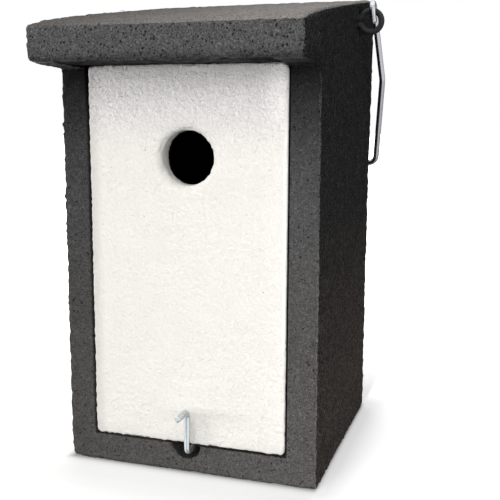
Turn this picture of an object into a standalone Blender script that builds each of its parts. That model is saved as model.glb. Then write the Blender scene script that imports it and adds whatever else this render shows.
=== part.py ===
"""Woodcrete nest box with a lift-out front panel, a turning hook and a wire bail.

The body, floor, back and overhanging roof are one grey casting. A white panel with the
entrance hole sits in a rebate of the front: its tongue stands in a groove under the roof
lip, and a wire hook holds its bottom edge. A wire bail hangs in two eyes that are cast
into the sides, and lies against the back.

Metres, +Z up. The front faces -Y. The origin is the centre of the body's footprint.
"""

import math

import bmesh
import bpy
from mathutils import Matrix, Vector

# Casing: outside
BODY_WIDTH = 0.160
BODY_DEPTH = 0.154
SIDE_DRAFT = 0.0009
FRONT_HEIGHT = 0.2463
LIP_FACE_HEIGHT = 0.0193
LIP_REACH = 0.0372
LIP_UNDER_FALL = 0.0013
ROOF_PITCH = math.radians(10.0)
ROOF_CROWN = 0.0025
CROWN_SKEW_POWER = 2

# Casing: rounded edges
LIP_TOP_RADIUS = 0.0010
LIP_BOTTOM_RADIUS = 0.0035
LIP_ROOT_RADIUS = 0.0025
BACK_TOP_RADIUS = 0.0018
BASE_RADIUS = 0.0009
SIDE_EDGE_RADIUS = 0.0013
ROOF_LEFT_RADIUS = 0.0007
ROOF_RIGHT_RADIUS = 0.0028
LIP_RIGHT_TIP_RADIUS = 0.0013
LIP_LEFT_END_RADIUS = 0.0030
LIP_RIGHT_END_RADIUS = 0.0016
BASE_LEFT_RADIUS = 0.0030
BASE_RIGHT_RADIUS = 0.0009
BASE_RIGHT_BACK_RADIUS = 0.0030
CORNER_BLEND_LENGTH = 0.006

# Casing: walls round the nest chamber
FLOOR_THICKNESS = 0.025
BACK_WALL_THICKNESS = 0.017
ROOF_THICKNESS = 0.022
HEADER_THICKNESS = 0.006
LEDGE_WIDTH = 0.004
CHAMBER_CORNER_RADIUS = 0.005
CHAMBER_RIM_RADIUS = 0.004

# Casing: rebate for the front panel
RAIL_WIDTH = 0.017
HEADER_RISE = 0.0005
BOTTOM_RAIL_HEIGHT = 0.0187
SEAT_CORNER_RADIUS = 0.003
SEAT_LEFT_EDGE_RADIUS = 0.0016
SEAT_RIGHT_EDGE_RADIUS = 0.0006

# Casing: drain holes in the floor
DRAIN_RADIUS = 0.0035
DRAIN_SPACING = 0.070

# Front panel
PANEL_THICKNESS = 0.0125
PANEL_PROUD = 0.0008
PANEL_SIDE_GAP = 0.001
PANEL_SIDE_SHIFT = -0.0003
PANEL_TOP_GAP = 0.0004
PANEL_CORNER_RADIUS = 0.0026
PANEL_TOP_RIGHT_RADIUS = 0.0045
PANEL_FRONT_EDGE_RADIUS = 0.0009
PANEL_BACK_EDGE_RADIUS = 0.0008
HOLE_RADIUS = 0.016
HOLE_SIDE_SHIFT = 0.001
HOLE_DROP = 0.0532
HOLE_FRONT_FLARE = 0.0022
HOLE_BACK_FLARE = 0.001

# Tongue of the panel and its groove in the casing
TONGUE_THICKNESS = 0.0056
TONGUE_RISE = 0.0071
TONGUE_END_INSET = 0.003
TONGUE_BACK_STEP = 0.0004
TONGUE_EDGE_RADIUS = 0.0012
GROOVE_FRONT_PLAY = 0.0008
GROOVE_BACK_PLAY = 0.001
GROOVE_TOP_PLAY = 0.0012

# Hook, its plug and the recess round it
HOOK_WIRE_RADIUS = 0.0017
HOOK_SIDE_SHIFT = 0.0019
HOOK_PANEL_GAP = 0.0019
HOOK_STANDOFF = 0.0037
HOOK_RISE = 0.0264
HOOK_TAB_LENGTH = 0.0151
HOOK_BEND_RADIUS = 0.0036
HOOK_SHANK_GRIP = 0.020
PLUG_RADIUS = 0.0035
PLUG_LENGTH = 0.025
PLUG_NOSE_LENGTH = 0.003
PLUG_NOSE_RADIUS = 0.0026
RECESS_RADIUS = 0.0094
RECESS_NARROW_RADIUS = 0.0042
RECESS_SIDE_SHIFT = -0.0014
RECESS_DROP = 0.0016

# Wire eyes cast into the side walls
EYE_WIRE_RADIUS = 0.0019
EYE_RADIUS = 0.0068
EYE_STANDOFF = 0.0086
EYE_SETBACK = 0.0519
EYE_ROOF_DROP = 0.01146
EYE_NECK_RADIUS = 0.003
EYE_LEG_GAP = 0.0004
EYE_ANCHOR_BEND_RADIUS = 0.003
EYE_ANCHOR_RISE = 0.0085
EYE_ANCHOR_DROP = 0.0124
EYE_SLOT_DEPTH = 0.0146

# Wire bail
BAIL_WIRE_RADIUS = 0.0020
BAIL_CROOK_RADIUS = 0.0045
BAIL_CROOK_SHIFT = 0.0010
BAIL_CROOK_TWIST = 0.0006
BAIL_TIP_LENGTH = 0.0075
BAIL_TIP_SPLAY = 0.0006
BAIL_KINK_DROP = 0.0502
BAIL_KINK_SPREAD = 0.0043
BAIL_KINK_RADIUS = 0.015
BAIL_DROP = 0.1145
BAIL_SIDE_CLEARANCE = 0.0033
BAIL_CORNER_RADIUS = 0.006

# Gap between pieces that touch, and how far a cutter runs past what it cuts
SEAT_GAP = 0.0003
OVERRUN = 0.004

# Counts of steps and sides
ROOF_STEPS = 10
CORNER_STEPS = 4
RIM_STEPS = 4
ROUND_SIDES = 48
DRAIN_SIDES = 24
PLUG_SIDES = 24
WIRE_BEVEL_RESOLUTION = 4
BEND_STEP = math.radians(14.0)
TIP_STEPS = 3
SHARP_ANGLE = math.radians(35.0)

# Heights and planes that several pieces share
HALF_WIDTH = BODY_WIDTH / 2
BACK_Y = BODY_DEPTH / 2
FRONT_Y = -BACK_Y
LIP_Y = FRONT_Y - LIP_REACH
LIP_TOP_HEIGHT = FRONT_HEIGHT + LIP_FACE_HEIGHT
BACK_HEIGHT = LIP_TOP_HEIGHT + (BODY_DEPTH + LIP_REACH) * math.tan(ROOF_PITCH)
HEADER_HEIGHT = FRONT_HEIGHT + HEADER_RISE
SEAT_HALF_WIDTH = HALF_WIDTH - RAIL_WIDTH
SEAT_BACK_Y = FRONT_Y + PANEL_THICKNESS - PANEL_PROUD + SEAT_GAP
CHAMBER_HALF_WIDTH = SEAT_HALF_WIDTH - LEDGE_WIDTH
CHAMBER_FRONT_Y = SEAT_BACK_Y + HEADER_THICKNESS
CHAMBER_BACK_Y = BACK_Y - BACK_WALL_THICKNESS
PANEL_FRONT_Y = FRONT_Y - PANEL_PROUD
PANEL_BACK_Y = PANEL_FRONT_Y + PANEL_THICKNESS
PANEL_HALF_WIDTH = SEAT_HALF_WIDTH - PANEL_SIDE_GAP
PANEL_BOTTOM = BOTTOM_RAIL_HEIGHT + SEAT_GAP
PANEL_TOP = HEADER_HEIGHT - PANEL_TOP_GAP
HOLE_HEIGHT = PANEL_TOP - HOLE_DROP
TONGUE_BACK_Y = PANEL_BACK_Y - TONGUE_BACK_STEP
TONGUE_FRONT_Y = TONGUE_BACK_Y - TONGUE_THICKNESS
TONGUE_HALF_WIDTH = PANEL_HALF_WIDTH - TONGUE_END_INSET
TONGUE_TOP = PANEL_TOP + TONGUE_RISE
HOOK_AXIS_HEIGHT = BOTTOM_RAIL_HEIGHT - HOOK_WIRE_RADIUS - HOOK_PANEL_GAP
HOOK_ARM_Y = PANEL_FRONT_Y - HOOK_STANDOFF - HOOK_WIRE_RADIUS
EYE_Y = BACK_Y - EYE_SETBACK
EYE_HEIGHT = BACK_HEIGHT - EYE_SETBACK * math.tan(ROOF_PITCH) - EYE_ROOF_DROP
EYE_LEG_OFFSET = EYE_WIRE_RADIUS + EYE_LEG_GAP / 2
BAIL_PIVOT = Vector((0, EYE_Y, EYE_HEIGHT + EYE_RADIUS))

X_AXIS = Vector((1, 0, 0))
Y_AXIS = Vector((0, 1, 0))
Z_AXIS = Vector((0, 0, 1))


def clear_scene():
    """Remove every object that is already in the scene."""
    for obj in list(bpy.data.objects):
        bpy.data.objects.remove(obj, do_unlink=True)


def make_material(name, colour, roughness, metallic):
    """Return a Principled material with a plain colour, roughness and metallic value."""
    material = bpy.data.materials.new(name)
    material.use_nodes = True
    shader = material.node_tree.nodes["Principled BSDF"]
    shader.inputs["Base Color"].default_value = (*colour, 1)
    shader.inputs["Roughness"].default_value = roughness
    shader.inputs["Metallic"].default_value = metallic
    return material


def rounded_outline(corners):
    """Return the points of a closed flat outline, with its corners rounded.

    Each corner is (u, v, radius, rim), counter-clockwise. Each returned point is
    (position, outward, rim): moving every point along its outward vector by one distance
    draws the same outline that much larger, and rim is the edge radius kept for it.
    """
    points = []
    for index, (u, v, radius, rim) in enumerate(corners):
        here = Vector((u, v))
        back = Vector(corners[index - 1][:2]) - here
        ahead = Vector(corners[(index + 1) % len(corners)][:2]) - here
        room = min(back.length, ahead.length) / 2
        back.normalize()
        ahead.normalize()
        turn = math.pi - back.angle(ahead)
        if radius == 0:
            travel = (ahead - back).normalized()
            outward = Vector((travel.y, -travel.x)) / math.cos(turn / 2)
            points.append((here, outward, rim))
            continue
        reach = min(radius * math.tan(turn / 2), room)
        arc_radius = reach / math.tan(turn / 2)
        centre = here + (back + ahead).normalized() * (arc_radius / math.cos(turn / 2))
        side = 1 if back.cross(ahead) < 0 else -1
        spoke = here + back * reach - centre
        for step in range(CORNER_STEPS + 1):
            arm = Matrix.Rotation(side * turn * step / CORNER_STEPS, 2) @ spoke
            points.append((centre + arm, arm.normalized() * side, rim))
    return points


def ring_at(outline, place, level, depth_share=0, growth_share=0):
    """Return one ring of a loft: the outline at a level, with its rim part way round.

    The shares say how far each point moves in depth and outward, per unit of its rim.
    """
    return [
        place(point + outward * rim * growth_share, level + rim * depth_share)
        for point, outward, rim in outline
    ]


def rim_shares():
    """Return the (depth, growth) shares of a quarter-round rim, from its wall to its end."""
    angles = [math.pi / 2 * step / RIM_STEPS for step in range(RIM_STEPS + 1)]
    return [(1 - math.sin(angle), 1 - math.cos(angle)) for angle in angles]


def rounded_prism_rings(low_outline, high_outline, place, low, high, middle=()):
    """Return the rings from one outline at low to another at high, both rims rounded.

    The middle rings, if any, stand between the two.
    """
    start = [ring_at(low_outline, place, low, deep, -grown) for deep, grown in rim_shares()]
    end = [ring_at(high_outline, place, high, -deep, -grown) for deep, grown in rim_shares()]
    return start[::-1] + list(middle) + end


def circle_ring(centre, first_axis, second_axis, radius, sides):
    """Return the points of a circle round a centre, in the plane of two unit axes."""
    turn = 2 * math.pi / sides
    return [
        centre
        + first_axis * radius * math.cos(turn * index)
        + second_axis * radius * math.sin(turn * index)
        for index in range(sides)
    ]


def skin(name, rings):
    """Return an object whose surface joins the rings in turn and closes both ends."""
    bm = bmesh.new()
    loops = [[bm.verts.new(point) for point in ring] for ring in rings]
    for low, high in zip(loops, loops[1:]):
        for index in range(len(low)):
            after = (index + 1) % len(low)
            bm.faces.new((low[index], low[after], high[after], high[index]))
    bm.faces.new(loops[0])
    bm.faces.new(loops[-1])
    bmesh.ops.recalc_face_normals(bm, faces=bm.faces[:])
    mesh = bpy.data.meshes.new(name)
    bm.to_mesh(mesh)
    bm.free()
    obj = bpy.data.objects.new(name, mesh)
    bpy.context.scene.collection.objects.link(obj)
    return obj


def block(name, low, high):
    """Return a plain box between two opposite corners."""
    plan = ((low.x, low.y), (high.x, low.y), (high.x, high.y), (low.x, high.y))
    rings = [[Vector((x, y, z)) for x, y in plan] for z in (low.z, high.z)]
    return skin(name, rings)


def combine(body, tools, operation):
    """Cut the tools from a body, or join them to it, and keep the result as its mesh."""
    for tool in tools:
        tool.hide_render = True
        tool.display_type = "WIRE"
        modifier = body.modifiers.new(tool.name, "BOOLEAN")
        modifier.operation = operation
        modifier.solver = "EXACT"
        modifier.object = tool
    graph = bpy.context.evaluated_depsgraph_get()
    mesh = bpy.data.meshes.new_from_object(body.evaluated_get(graph))
    body.modifiers.clear()
    body.data = mesh
    for tool in tools:
        bpy.data.objects.remove(tool, do_unlink=True)


def dress(obj, material):
    """Give a mesh object its material, smooth faces and sharp creases."""
    obj.data.materials.clear()
    obj.data.materials.append(material)
    obj.data.shade_smooth()
    obj.data.set_sharp_from_angle(angle=SHARP_ANGLE)


def set_origin(obj, origin):
    """Move an object's origin to a point and leave its surface where it is."""
    obj.data.transform(Matrix.Translation(-origin))
    obj.location = origin


def bent_path(corners):
    """Return the points of a wire's centre line through rounded corners.

    Each corner is (point, bend radius). The two ends have no bend.
    """
    points = [corners[0][0]]
    for (before, _), (here, radius), (after, _) in zip(corners, corners[1:], corners[2:]):
        back = (before - here).normalized()
        ahead = (after - here).normalized()
        turn = math.pi - back.angle(ahead)
        centre = here + (back + ahead).normalized() * (radius / math.cos(turn / 2))
        spoke = here + back * (radius * math.tan(turn / 2)) - centre
        steps = max(2, math.ceil(turn / BEND_STEP))
        axis = ahead.cross(back)
        for step in range(steps + 1):
            points.append(centre + Matrix.Rotation(turn * step / steps, 3, axis) @ spoke)
    points.append(corners[-1][0])
    return points


def arc_points(centre, radius, start, end):
    """Return points of an arc in the XZ plane, between two angles from +X towards +Z."""
    steps = math.ceil(abs(end - start) / BEND_STEP)
    angles = [start + (end - start) * step / steps for step in range(steps + 1)]
    return [
        centre + X_AXIS * radius * math.cos(angle) + Z_AXIS * radius * math.sin(angle)
        for angle in angles
    ]


def rounded_tip(end, inner, radius):
    """Return (point, radius share) pairs that round a wire's end, from the tip inwards."""
    inwards = (inner - end).normalized()
    angles = [math.pi / 2 * step / TIP_STEPS for step in range(1, TIP_STEPS + 1)]
    return [(end + inwards * radius * (1 - math.cos(angle)), math.sin(angle)) for angle in angles]


def wire(name, points, radius, material):
    """Return a round wire along a centre line, with rounded ends."""
    head = rounded_tip(points[0], points[1], radius)
    tail = rounded_tip(points[-1], points[-2], radius)
    path = head + [(point, 1) for point in points[1:-1]] + tail[::-1]
    curve = bpy.data.curves.new(name, "CURVE")
    curve.dimensions = "3D"
    curve.twist_mode = "MINIMUM"
    curve.bevel_depth = radius
    curve.bevel_resolution = WIRE_BEVEL_RESOLUTION
    curve.use_fill_caps = True
    spline = curve.splines.new("POLY")
    spline.points.add(len(path) - 1)
    spline.use_smooth = True
    for knot, (point, share) in zip(spline.points, path):
        knot.co = (*point, 1)
        knot.radius = share
    curve.materials.append(material)
    obj = bpy.data.objects.new(name, curve)
    bpy.context.scene.collection.objects.link(obj)
    return obj


def along_x(point, level):
    """Place an outline point of (y, z) at an X level."""
    return Vector((level, point.x, point.y))


def along_y(point, level):
    """Place an outline point of (x, z) at a Y level."""
    return Vector((point.x, level, point.y))


def along_drafted_x(point, level):
    """Place an outline point of (y, z) at an X level that spreads towards the base."""
    spread = SIDE_DRAFT * (1 - point.y / LIP_TOP_HEIGHT)
    return Vector((level * (1 + spread / HALF_WIDTH), point.x, point.y))


def roof_height(y):
    """Return the height of the roof's straight slope, without its crown, at a Y place."""
    return BACK_HEIGHT - (BACK_Y - y) * math.tan(ROOF_PITCH)


def casing_outline(lip_end=0, lip_tip=0, roof=0, base_front=0, base_back=0):
    """Return the casing's side view as points of (y, z), with the edge radii of one side.

    The radii are those of the side's edges round the lip's end, the lip's top corner, the
    roof, and the base in front and at the back. Each corner is rounder than its edge radius.
    """
    front_blend = base_front + CORNER_BLEND_LENGTH
    back_blend = base_back + CORNER_BLEND_LENGTH
    lip_root_height = FRONT_HEIGHT - LIP_UNDER_FALL
    corners = [
        (LIP_Y, LIP_TOP_HEIGHT, LIP_TOP_RADIUS + lip_tip, lip_tip),
        (LIP_Y, FRONT_HEIGHT, LIP_BOTTOM_RADIUS, lip_end),
        (FRONT_Y, lip_root_height, LIP_ROOT_RADIUS, SIDE_EDGE_RADIUS),
        (FRONT_Y, front_blend, 0, SIDE_EDGE_RADIUS),
        (FRONT_Y, 0, BASE_RADIUS + base_front, base_front),
        (BACK_Y, 0, BASE_RADIUS + base_back, base_back),
        (BACK_Y, back_blend, 0, SIDE_EDGE_RADIUS),
        (BACK_Y, BACK_HEIGHT, BACK_TOP_RADIUS + roof, roof),
    ]
    for step in range(ROOF_STEPS - 1, 0, -1):
        share = step / ROOF_STEPS
        y = LIP_Y + (BACK_Y - LIP_Y) * share**CROWN_SKEW_POWER
        rise = ROOF_CROWN * math.sin(math.pi * share)
        corners.append((y, roof_height(y) + rise, 0, roof))
    return rounded_outline(corners)


def casing_rings():
    """Return the casing's rings from its left side to its right one."""
    left = casing_outline(
        lip_end=LIP_LEFT_END_RADIUS,
        lip_tip=ROOF_LEFT_RADIUS,
        roof=ROOF_LEFT_RADIUS,
        base_front=BASE_LEFT_RADIUS,
        base_back=BASE_LEFT_RADIUS,
    )
    right = casing_outline(
        lip_end=LIP_RIGHT_END_RADIUS,
        lip_tip=LIP_RIGHT_TIP_RADIUS,
        roof=ROOF_RIGHT_RADIUS,
        base_front=BASE_RIGHT_RADIUS,
        base_back=BASE_RIGHT_BACK_RADIUS,
    )
    plain = casing_outline()
    reach = HALF_WIDTH - BASE_LEFT_RADIUS - CORNER_BLEND_LENGTH
    middle = [ring_at(plain, along_drafted_x, level) for level in (-reach, reach)]
    return rounded_prism_rings(left, right, along_drafted_x, -HALF_WIDTH, HALF_WIDTH, middle)


def seat_outline(top):
    """Return the outline of the panel's rebate as points of (x, z), up to a height."""
    flare_top = FRONT_HEIGHT - LIP_UNDER_FALL - LIP_ROOT_RADIUS
    return rounded_outline([
        (-SEAT_HALF_WIDTH, BOTTOM_RAIL_HEIGHT, SEAT_CORNER_RADIUS, SEAT_LEFT_EDGE_RADIUS),
        (SEAT_HALF_WIDTH, BOTTOM_RAIL_HEIGHT, SEAT_CORNER_RADIUS, SEAT_RIGHT_EDGE_RADIUS),
        (SEAT_HALF_WIDTH, flare_top, 0, SEAT_RIGHT_EDGE_RADIUS),
        (SEAT_HALF_WIDTH, top, 0, 0),
        (-SEAT_HALF_WIDTH, top, 0, 0),
        (-SEAT_HALF_WIDTH, flare_top, 0, SEAT_LEFT_EDGE_RADIUS),
    ])


def seat_cutter():
    """Return the cutter of the panel's rebate, flared where its edges are worn round."""
    outline = seat_outline(HEADER_HEIGHT)
    rings = [ring_at(seat_outline(FRONT_HEIGHT), along_y, LIP_Y - OVERRUN, 0, 1)]
    for growth, depth in rim_shares():
        rings.append(ring_at(outline, along_y, FRONT_Y, depth, growth))
    rings.append(ring_at(outline, along_y, SEAT_BACK_Y))
    return skin("seat_cutter", rings)


def chamber_cutter():
    """Return the cutter of the nest chamber, with its mouth under the header."""
    mouth_top = FRONT_HEIGHT - LEDGE_WIDTH
    mouth_y = SEAT_BACK_Y - OVERRUN
    front_ceiling = roof_height(CHAMBER_FRONT_Y) - ROOF_THICKNESS
    back_ceiling = roof_height(CHAMBER_BACK_Y) - ROOF_THICKNESS
    corners = [
        (mouth_y, mouth_top, 0, CHAMBER_RIM_RADIUS),
        (mouth_y, FLOOR_THICKNESS, 0, CHAMBER_RIM_RADIUS),
        (CHAMBER_BACK_Y, FLOOR_THICKNESS, CHAMBER_CORNER_RADIUS, CHAMBER_RIM_RADIUS),
        (CHAMBER_BACK_Y, back_ceiling, CHAMBER_CORNER_RADIUS, CHAMBER_RIM_RADIUS),
        (CHAMBER_FRONT_Y, front_ceiling, CHAMBER_CORNER_RADIUS, CHAMBER_RIM_RADIUS),
        (CHAMBER_FRONT_Y, mouth_top, 0, CHAMBER_RIM_RADIUS),
    ]
    outline = rounded_outline(corners)
    half = CHAMBER_HALF_WIDTH
    return skin("chamber_cutter", rounded_prism_rings(outline, outline, along_x, -half, half))


def groove_cutter():
    """Return the cutter of the groove that the panel's tongue stands in."""
    half = TONGUE_HALF_WIDTH + PANEL_SIDE_GAP
    low = Vector((-half, TONGUE_FRONT_Y - GROOVE_FRONT_PLAY, HEADER_HEIGHT - OVERRUN))
    high = Vector((half, SEAT_BACK_Y + GROOVE_BACK_PLAY, TONGUE_TOP + GROOVE_TOP_PLAY))
    return block("groove_cutter", low, high)


def recess_cutter():
    """Return the half-cone recess in the bottom rail, which narrows towards the hook."""
    wide = Vector((RECESS_SIDE_SHIFT, FRONT_Y, BOTTOM_RAIL_HEIGHT - RECESS_DROP))
    narrow = Vector((HOOK_SIDE_SHIFT, SEAT_BACK_Y - SEAT_GAP, HOOK_AXIS_HEIGHT))
    outer = wide - Y_AXIS * OVERRUN
    rings = [
        circle_ring(outer, X_AXIS, Z_AXIS, RECESS_RADIUS, ROUND_SIDES),
        circle_ring(wide, X_AXIS, Z_AXIS, RECESS_RADIUS, ROUND_SIDES),
        circle_ring(narrow, X_AXIS, Z_AXIS, RECESS_NARROW_RADIUS, ROUND_SIDES),
    ]
    return skin("recess_cutter", rings)


def plug_hole_cutter():
    """Return the cutter of the blind hole that the hook's plug is cast into."""
    start = Vector((HOOK_SIDE_SHIFT, SEAT_BACK_Y - OVERRUN / 2, HOOK_AXIS_HEIGHT))
    end = Vector((HOOK_SIDE_SHIFT, SEAT_BACK_Y + PLUG_LENGTH + SEAT_GAP, HOOK_AXIS_HEIGHT))
    radius = PLUG_RADIUS + SEAT_GAP
    rings = [circle_ring(centre, X_AXIS, Z_AXIS, radius, PLUG_SIDES) for centre in (start, end)]
    return skin("plug_hole_cutter", rings)


def slot_cutter(side):
    """Return the cutter of the slot that an eye's two anchors stand in."""
    half_slot = EYE_WIRE_RADIUS + SEAT_GAP
    near = side * (HALF_WIDTH - EYE_SLOT_DEPTH)
    far = side * (HALF_WIDTH + OVERRUN)
    bottom = EYE_HEIGHT - EYE_ANCHOR_DROP - SEAT_GAP
    top = EYE_HEIGHT + EYE_ANCHOR_RISE + SEAT_GAP
    low = Vector((min(near, far), EYE_Y - half_slot, bottom))
    high = Vector((max(near, far), EYE_Y + half_slot, top))
    return block("slot_cutter", low, high)


def drain_cutters():
    """Return the cutters of the four drain holes in the floor."""
    middle_y = (SEAT_BACK_Y + CHAMBER_BACK_Y) / 2
    cutters = []
    for x in (-DRAIN_SPACING / 2, DRAIN_SPACING / 2):
        for y in (middle_y - DRAIN_SPACING / 2, middle_y + DRAIN_SPACING / 2):
            rings = []
            for height in (-OVERRUN, FLOOR_THICKNESS + OVERRUN):
                centre = Vector((x, y, height))
                rings.append(circle_ring(centre, X_AXIS, Y_AXIS, DRAIN_RADIUS, DRAIN_SIDES))
            cutters.append(skin("drain_cutter", rings))
    return cutters


def make_casing(material):
    """Make the grey casting with its chamber, rebate, groove, recess, slots and drains."""
    casing = skin("casing", casing_rings())
    cutters = [seat_cutter(), chamber_cutter(), groove_cutter()]
    cutters += [recess_cutter(), plug_hole_cutter()]
    cutters += [slot_cutter(side) for side in (-1, 1)]
    cutters += drain_cutters()
    combine(casing, cutters, "DIFFERENCE")
    dress(casing, material)
    return casing


def hole_cutter():
    """Return the cutter of the entrance hole, with a rounded rim front and back."""
    centre = Vector((HOLE_SIDE_SHIFT, 0, HOLE_HEIGHT))
    front = HOLE_FRONT_FLARE
    back = HOLE_BACK_FLARE
    stations = [(PANEL_FRONT_Y - OVERRUN, HOLE_RADIUS + front)]
    for growth, depth in rim_shares():
        stations.append((PANEL_FRONT_Y + front * depth, HOLE_RADIUS + front * growth))
    for growth, depth in rim_shares()[::-1]:
        stations.append((PANEL_BACK_Y - back * depth, HOLE_RADIUS + back * growth))
    stations.append((PANEL_BACK_Y + OVERRUN, HOLE_RADIUS + back))
    rings = [
        circle_ring(centre + Y_AXIS * y, X_AXIS, Z_AXIS, radius, ROUND_SIDES)
        for y, radius in stations
    ]
    return skin("hole_cutter", rings)


def make_tongue():
    """Return the tongue along the panel's top edge, with its foot inside the panel."""
    foot = PANEL_TOP - TONGUE_RISE
    corners = [
        (TONGUE_FRONT_Y, foot, 0, TONGUE_EDGE_RADIUS),
        (TONGUE_BACK_Y, foot, 0, TONGUE_EDGE_RADIUS),
        (TONGUE_BACK_Y, TONGUE_TOP, TONGUE_EDGE_RADIUS, TONGUE_EDGE_RADIUS),
        (TONGUE_FRONT_Y, TONGUE_TOP, TONGUE_EDGE_RADIUS, TONGUE_EDGE_RADIUS),
    ]
    outline = rounded_outline(corners)
    left = PANEL_SIDE_SHIFT - TONGUE_HALF_WIDTH
    right = PANEL_SIDE_SHIFT + TONGUE_HALF_WIDTH
    return skin("tongue", rounded_prism_rings(outline, outline, along_x, left, right))


def make_front_panel(material):
    """Make the white panel, which tips about its tongue at the top of the rebate."""
    left = PANEL_SIDE_SHIFT - PANEL_HALF_WIDTH
    right = PANEL_SIDE_SHIFT + PANEL_HALF_WIDTH
    bottom = PANEL_BOTTOM
    top = PANEL_TOP
    outline = rounded_outline([
        (left, bottom, PANEL_CORNER_RADIUS, 1),
        (right, bottom, PANEL_CORNER_RADIUS, 1),
        (right, top, PANEL_TOP_RIGHT_RADIUS, 1),
        (left, top, PANEL_CORNER_RADIUS, 1),
    ])
    front = PANEL_FRONT_EDGE_RADIUS
    back = PANEL_BACK_EDGE_RADIUS
    rings = []
    for deep, grown in rim_shares()[::-1]:
        rings.append(ring_at(outline, along_y, PANEL_FRONT_Y, deep * front, -grown * front))
    for deep, grown in rim_shares():
        rings.append(ring_at(outline, along_y, PANEL_BACK_Y, -deep * back, -grown * back))
    panel = skin("front_panel", rings)
    combine(panel, [make_tongue()], "UNION")
    combine(panel, [hole_cutter()], "DIFFERENCE")
    dress(panel, material)
    tongue_middle = (TONGUE_FRONT_Y + TONGUE_BACK_Y) / 2
    set_origin(panel, Vector((0, tongue_middle, PANEL_TOP + GROOVE_TOP_PLAY)))
    return panel


def make_latch_hook(material):
    """Make the wire hook, which turns on its shank in the bottom rail."""
    shank_end = Y_AXIS * (SEAT_BACK_Y + HOOK_SHANK_GRIP - HOOK_ARM_Y)
    corners = [
        (shank_end, 0),
        (Vector((0, 0, 0)), HOOK_BEND_RADIUS),
        (Z_AXIS * HOOK_RISE, HOOK_BEND_RADIUS),
        (Z_AXIS * HOOK_RISE - Y_AXIS * HOOK_TAB_LENGTH, 0),
    ]
    hook = wire("latch_hook", bent_path(corners), HOOK_WIRE_RADIUS, material)
    hook.location = (HOOK_SIDE_SHIFT, HOOK_ARM_Y, HOOK_AXIS_HEIGHT)
    return hook


def make_latch_plug(material):
    """Make the plug that the hook's shank is screwed into, with its blind bore."""
    bore_radius = HOOK_WIRE_RADIUS + SEAT_GAP
    end_y = SEAT_BACK_Y + PLUG_LENGTH
    stations = [
        (end_y, PLUG_NOSE_RADIUS),
        (end_y - PLUG_NOSE_LENGTH, PLUG_RADIUS),
        (SEAT_BACK_Y + SEAT_GAP, PLUG_RADIUS),
        (SEAT_BACK_Y + SEAT_GAP, bore_radius),
        (SEAT_BACK_Y + HOOK_SHANK_GRIP + SEAT_GAP, bore_radius),
    ]
    centre = Vector((HOOK_SIDE_SHIFT, 0, HOOK_AXIS_HEIGHT))
    rings = [
        circle_ring(centre + Y_AXIS * y, X_AXIS, Z_AXIS, radius, PLUG_SIDES)
        for y, radius in stations
    ]
    plug = skin("latch_plug", rings)
    dress(plug, material)
    return plug


def make_eye(name, side, material):
    """Make one wire eye: a round loop on two legs whose bent ends anchor in the wall."""
    neck_height = EYE_LEG_OFFSET + EYE_NECK_RADIUS
    neck_reach = math.sqrt((EYE_RADIUS + EYE_NECK_RADIUS) ** 2 - neck_height**2)
    meet = math.atan2(neck_height, neck_reach)
    anchor_x = -(EYE_STANDOFF + EYE_SLOT_DEPTH - SEAT_GAP - EYE_WIRE_RADIUS)
    origin = Vector((0, 0, 0))
    lower_leg = bent_path([
        (Vector((anchor_x, 0, -EYE_ANCHOR_DROP)), 0),
        (Vector((anchor_x, 0, -EYE_LEG_OFFSET)), EYE_ANCHOR_BEND_RADIUS),
        (Vector((-neck_reach, 0, -EYE_LEG_OFFSET)), 0),
    ])
    upper_leg = bent_path([
        (Vector((-neck_reach, 0, EYE_LEG_OFFSET)), 0),
        (Vector((anchor_x, 0, EYE_LEG_OFFSET)), EYE_ANCHOR_BEND_RADIUS),
        (Vector((anchor_x, 0, EYE_ANCHOR_RISE)), 0),
    ])
    lower_neck = Vector((-neck_reach, 0, -neck_height))
    upper_neck = Vector((-neck_reach, 0, neck_height))
    points = lower_leg
    points += arc_points(lower_neck, EYE_NECK_RADIUS, math.pi / 2, meet)[1:]
    points += arc_points(origin, EYE_RADIUS, math.pi + meet, 3 * math.pi - meet)[1:]
    points += arc_points(upper_neck, EYE_NECK_RADIUS, -meet, -math.pi / 2)[1:]
    points += upper_leg[1:]
    mirrored = [Vector((side * point.x, point.y, point.z)) for point in points]
    eye = wire(name, mirrored, EYE_WIRE_RADIUS, material)
    eye.location = (side * (HALF_WIDTH + EYE_STANDOFF), EYE_Y, EYE_HEIGHT)
    return eye


def bail_tilt():
    """Return the angle from hanging straight at which the bail lies on the back wall."""
    reach = math.hypot(BAIL_DROP, BAIL_CROOK_RADIUS)
    travel = BACK_Y + SEAT_GAP + BAIL_WIRE_RADIUS - BAIL_PIVOT.y
    return math.asin(travel / reach) - math.atan2(BAIL_CROOK_RADIUS, BAIL_DROP)


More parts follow.
